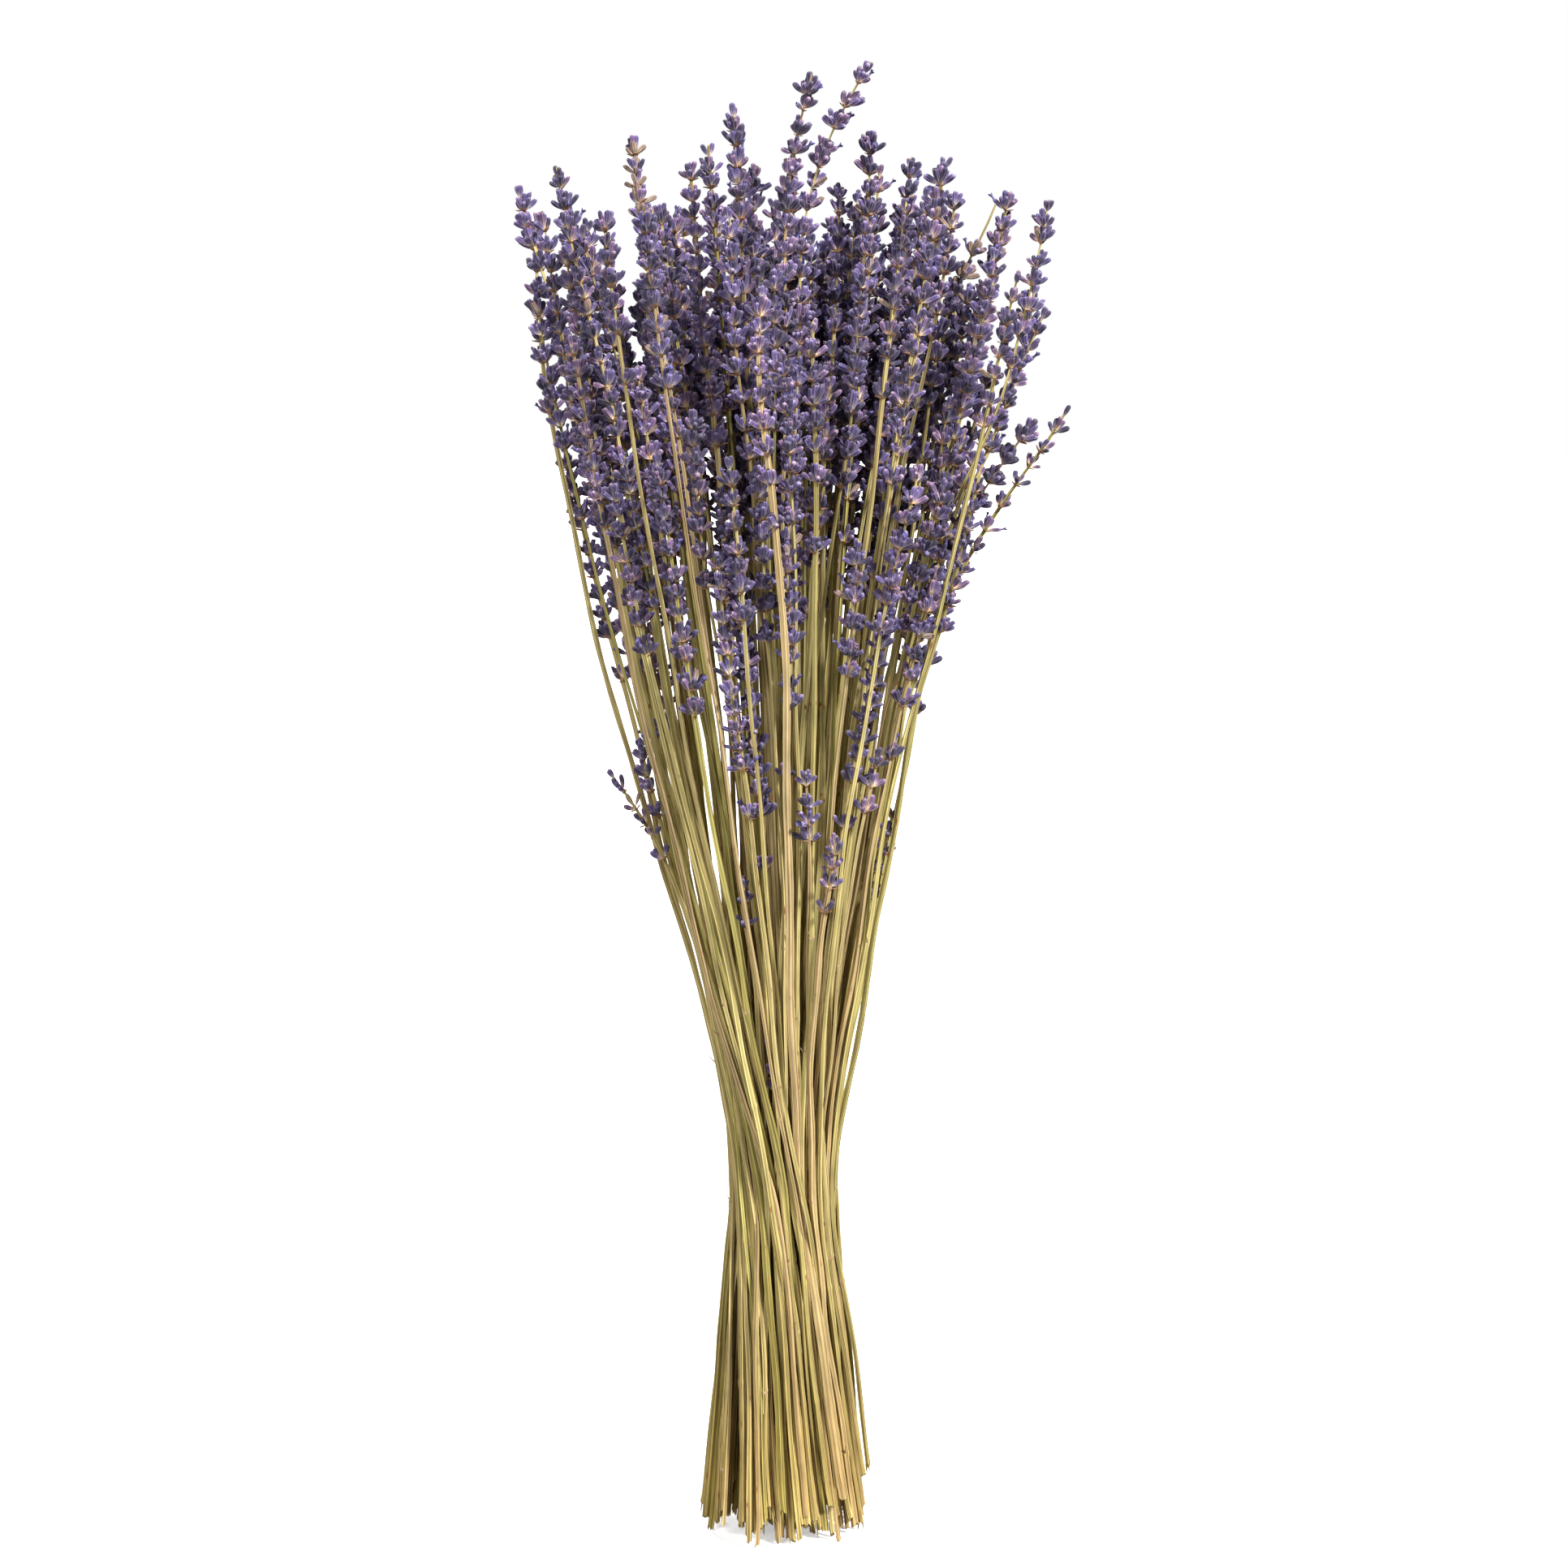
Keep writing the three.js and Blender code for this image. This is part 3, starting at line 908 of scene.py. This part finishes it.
def filler_places(taken, count):
    """Places in the waist as far as can be from those taken and from each other, clear of the tie."""
    reach = np.abs(taken - axis).max()
    places = list(taken)
    for _ in range(count):
        tries = axis + reach * np.sqrt(random.random(260)) * np.exp(2j * math.pi * random.random(260))
        clear = np.abs(np.abs(tries - axis) - tie_radius) > 1.4 * MM
        tries = tries[clear]
        gaps = np.abs(tries[:, None] - np.array(places)[None]).min(1)
        places.append(tries[gaps.argmax()])
    return np.array(places[len(taken):])


def carried(places, taken, runs):
    """Runs from new places in the waist: each goes with the runs nearest to it, which spread as the whole
    bunch does."""
    table = np.stack([np.ones(len(taken)), taken], axis=1)
    spread = np.linalg.lstsq(table, runs, rcond=None)[0][1]
    gaps = places[:, None] - taken[None]
    weights = 1 / (np.abs(gaps) ** 2 + (1 * MM) ** 2) ** 1.5
    weights /= weights.sum(1, keepdims=True)
    return weights @ runs + (weights * gaps).sum(1)[:, None] * spread[None]


def filler_tops(heads, height):
    """How high stems reach, by where they are in the head: the inner ones go high, and the outer ones cover
    the head down to its foot, most of all at the front."""
    depth = np.abs(heads - axis) / np.abs(heads - axis).max()
    direction = np.degrees(np.angle(heads - axis))
    low_at_rim = np.interp(direction, *zip(*LOW_TOPS), period=360)
    low = INNER_LOW + (low_at_rim - INNER_LOW) * np.clip((depth - 0.3) / 0.5, 0, 1)
    high = np.interp(depth, [0.3, 1.0], HIGH_TOPS)
    turns = GOLDEN * np.argsort(np.argsort(direction)) + 0.1 * random.random(len(heads))
    front = np.cos(np.radians(direction + 90)) * np.minimum(depth / 0.5, 1)
    return height * (low + (high - low) * (turns % 1) ** (1.05 + 0.4 * front))


def filler_sprigs(sprigs, height):
    """Stems that stand between the CAD ones and are pushed clear of them and of each other."""
    heights = np.arange(0, height + LEVEL_STEP, LEVEL_STEP)
    guides = [sprig for sprig in sprigs if "_low_" not in sprig.name]
    taken = runs_of(sprigs, np.array([waist]))[:, 0]
    guide_places = runs_of(guides, np.array([waist]))[:, 0]
    places = filler_places(taken, FILLERS)
    runs = carried(places, guide_places, runs_of(guides, heights))
    strays = STRAY * (random.normal(0, 1, (2, FILLERS, 2)) @ (1, 1j))
    share = np.clip((heights - waist) / (0.5 * waist), -1, 1)
    runs += np.where(share > 0, strays[0][:, None], strays[1][:, None]) * np.abs(share)
    tops = filler_tops(runs[:, int(0.7 * len(heights))], height)
    beside = np.abs(runs[:, 0].real - axis.real)
    lows = random.random(FILLERS) * (LOW_END + (LOW_END_BESIDE - LOW_END) * beside / beside.max())
    spikes = random.uniform(*FILLER_SPIKES, FILLERS)
    girths = random.uniform(*FILLER_GIRTHS, FILLERS)
    fixed = runs_of(sprigs, heights)
    fixed_reach = np.array([reach_of(s.low, s.foot, s.top, s.girth, heights) for s in sprigs])
    reach = np.array([reach_of(*row, heights) for row in zip(lows, tops - spikes, tops, girths)])
    push_clear(runs, reach, fixed, fixed_reach)
    fillers = []
    for low, top, spike, girth, run in zip(lows, tops, spikes, girths, runs):
        held = (heights > low) & (heights < top)
        levels = np.concatenate([[low], heights[held], [top]])
        line = np.interp(levels, heights, run.real), np.interp(levels, heights, run.imag)
        fillers.append(Sprig("filler", levels, np.stack(line, axis=1), top - spike, girth))
    return fillers


def reach_of(low, foot, top, girth, heights):
    """The radius of a sprig by height, and 0 where it isn't."""
    wide = np.where(heights > foot, girth, STEM_RADIUS)
    return np.where((heights < low - LEVEL_STEP / 2) | (heights > top + LEVEL_STEP / 2), 0, wide)


def push_clear(runs, reach, fixed, fixed_reach):
    """Pushes runs away from the fixed ones and from each other, level by level, and eases the pushes."""
    start = runs.copy()
    everyone = np.concatenate([fixed, runs])
    widths = np.concatenate([fixed_reach, reach])
    first = len(fixed)
    own = np.arange(len(runs))
    for _ in range(PUSHES):
        for level in range(runs.shape[1]):
            at, wide = everyone[:, level], widths[:, level]
            gaps = at[first:, None] - at[None]
            apart = np.abs(gaps) + 1e-9
            need = CLEARANCE * (wide[first:, None] + wide[None])
            short = np.where((apart < need) & (wide[first:, None] > 0) & (wide[None] > 0), need - apart, 0)
            short[own, first + own] = 0
            everyone[first:, level] += (0.3 * short * gaps / apart).sum(1)
        pushes = everyone[first:] - start
        pushes[:, 1:-1] = (pushes[:, :-2] + 2 * pushes[:, 1:-1] + pushes[:, 2:]) / 4
        everyone[first:] = held_in(start + pushes, fixed)
    runs[:] = everyone[first:]


def held_in(runs, fixed):
    """Runs brought back near the outline that the fixed ones make at each level, and inside the CAD's box."""
    middle = fixed.mean(0)
    out = runs - middle
    way = out / np.abs(out)
    reach = (way[:, None].conj() * (fixed - middle)[None]).real.max(1) + OUTLINE_SLACK
    near = middle + way * np.minimum(np.abs(out), reach)
    (left, front, _), (right, back, _) = cad_bounds
    room = FULL_GIRTH + 1 * MM
    return np.clip(near.real, left + room, right - room) + 1j * np.clip(near.imag, front + room, back - room)


# ------------ the twine, the floor, the light


def twine(low, high, radius):
    """A few turns of two-ply twine, closed on themselves as a coil."""
    turns, steps, sides = 4, 72, 8
    thick = (high - low) / (turns + 1) / 2
    shape = Shape()
    rings = []
    for i in range(turns * steps + 1):
        angle = 2 * math.pi * i / steps
        z = low + thick + (high - low - 2 * thick) * i / (turns * steps)
        ring = []
        for j in range(sides):
            a = 2 * math.pi * j / sides
            ply = thick * (1 + 0.16 * math.cos(2 * (a - 5 * angle)))
            out = radius + ply * math.cos(a)
            x, y = axis.real + out * math.cos(angle), axis.imag + out * math.sin(angle)
            ring.append((x, y, z + ply * math.sin(a)))
        rings.append(shape.ring(ring))
    rounds = list(np.arange(sides + 1) / sides * 0.98 + 0.01)
    for i in range(len(rings) - 1):
        low_v, high_v = i / len(rings), (i + 1) / len(rings)
        shape.band(rings[i][::-1], rings[i + 1][::-1], low_v, high_v, rounds, 0)
    for ring, order in ((rings[0], 1), (rings[-1], -1)):
        shape.face(ring[::order], [(0.1 + 0.1 * k, 0.01 * (k % 2)) for k in range(sides)], 0)
    shape.ready()
    build = Build()
    build.add(shape, shape.points[None], [0])
    return build.mesh("inner_twine", [twine_look()])


def floor():
    """A plain pale floor that runs up out of sight. It glows a little, painted light that lifts the shadow
    cast on it and throws a faint glow back at the bunch.
    """
    look = bpy.data.materials.new("floor")
    look.use_nodes = True
    shader = look.node_tree.nodes["Principled BSDF"]
    shader.inputs["Roughness"].default_value = 0.9
    path = look.node_tree.nodes.new("ShaderNodeLightPath")
    tone = look.node_tree.nodes.new("ShaderNodeMix")
    tone.data_type = "RGBA"
    tone.inputs[6].default_value = srgb(120, 118, 114)
    tone.inputs[7].default_value = srgb(250, 250, 251)
    look.node_tree.links.new(path.outputs["Is Camera Ray"], tone.inputs[0])
    look.node_tree.links.new(tone.outputs[2], shader.inputs["Base Color"])
    # Painted light: the floor glows with its own colour, pale to the camera and grey elsewhere, which lifts
    # the shadow on it.
    look.node_tree.links.new(tone.outputs[2], shader.inputs["Emission Color"])
    shader.inputs["Emission Strength"].default_value = 0.5
    mesh = bpy.data.meshes.new("floor")
    side = 6.0
    corners = [(-side, -side, 0), (side, -side, 0), (side, side, 0), (-side, side, 0)]
    mesh.from_pydata(corners, [], [(0, 1, 2, 3)])
    mesh.materials.append(look)
    plane = bpy.data.objects.new("floor", mesh)
    bpy.context.scene.collection.objects.link(plane)


def soft_light(name, towards, strength, spread):
    """Even light from one side, as from a large soft box far off."""
    data = bpy.data.lights.new(name, "SUN")
    data.energy = strength
    data.angle = math.radians(spread)
    lamp = bpy.data.objects.new(name, data)
    lamp.rotation_euler = Vector(towards).to_track_quat("-Z", "Y").to_euler()
    bpy.context.scene.collection.objects.link(lamp)


def light():
    """A white studio, whose walls light the bunch less than the lamps do."""
    world = bpy.data.worlds.new("studio")
    world.use_nodes = True
    tree = world.node_tree
    background = tree.nodes["Background"]
    background.inputs["Color"].default_value = (1.0, 1.0, 1.0, 1.0)
    path = tree.nodes.new("ShaderNodeLightPath")
    strength = tree.nodes.new("ShaderNodeMath")
    strength.operation = "MAXIMUM"
    strength.inputs[1].default_value = 0.04
    tree.links.new(path.outputs["Is Camera Ray"], strength.inputs[0])
    tree.links.new(strength.outputs[0], background.inputs["Strength"])
    bpy.context.scene.world = world
    soft_light("key", (-0.8, 0.8, -0.95), 6.2, 10)
    soft_light("front", (0.55, 1.0, -0.75), 2.3, 26)
    soft_light("back", (0.4, -1.0, -0.7), 2.4, 30)
    bpy.context.scene.view_settings.view_transform = "Standard"


def camera(height):
    """Looks along +Y at the bunch from a little above its middle, as far off as a studio camera stands."""
    data = bpy.data.cameras.new("camera")
    lens = bpy.data.objects.new("camera", data)
    top = math.atan((height - CAMERA_HEIGHT) / CAMERA_DISTANCE)
    bottom = math.atan(-CAMERA_HEIGHT / (CAMERA_DISTANCE - 0.025))
    view = (top - bottom) / FRAME_FILL
    data.sensor_width = 36
    data.lens = data.sensor_width / 2 / math.tan(view / 2)
    lens.location = (axis.real, axis.imag - CAMERA_DISTANCE, CAMERA_HEIGHT)
    lens.rotation_euler = (math.pi / 2 + (top + bottom) / 2 + AIM * view, 0, 0)
    bpy.context.scene.collection.objects.link(lens)
    bpy.context.scene.camera = lens


# ------------ the bunch

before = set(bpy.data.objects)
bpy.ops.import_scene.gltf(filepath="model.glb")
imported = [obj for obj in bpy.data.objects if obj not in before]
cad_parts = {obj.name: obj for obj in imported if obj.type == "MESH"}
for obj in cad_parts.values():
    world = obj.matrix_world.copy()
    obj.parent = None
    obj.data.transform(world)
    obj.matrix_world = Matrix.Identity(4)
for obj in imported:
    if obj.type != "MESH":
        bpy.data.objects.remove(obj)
cad_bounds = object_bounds()
height = cad_bounds[1].z
tie_low, tie_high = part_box("inner_tie")
axis = complex((tie_low[0] + tie_high[0]) / 2, (tie_low[1] + tie_high[1]) / 2)
waist = (tie_low[2] + tie_high[2]) / 2
tie_radius = (tie_high[0] - tie_low[0]) / 2 - 0.4 * MM

camera(height)
light()
floor()

materials = sprig_materials()
shapes = sprig_shapes(6, CALYX_OUTLINE)
plain_shapes = sprig_shapes(5, PLAIN_OUTLINE)

sprig_nodes = sorted(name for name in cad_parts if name.startswith("sprig_"))
cad_sprigs = [cad_sprig(node) for node in sprig_nodes]
for node, sprig in zip(sprig_nodes, cad_sprigs):
    piece = sprigs_piece(node + "_flowering_stem", [sprig], height, shapes, materials)
    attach(piece, "root")
    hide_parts(node)

fillers = filler_sprigs(cad_sprigs, height)
fillers.sort(key=lambda sprig: math.atan2(sprig.line[-1][1], sprig.line[-1][0]))
for group in range(FILLER_GROUPS):
    first, end = (edge * len(fillers) // FILLER_GROUPS for edge in (group, group + 1))
    name = f"sprigs_between_{group + 1:02d}"
    piece = sprigs_piece(name, fillers[first:end], height, plain_shapes, materials)
    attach(piece, "root")

coil = twine(tie_low[2], tie_high[2], tie_radius)
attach(coil, "root")
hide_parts("inner_tie")
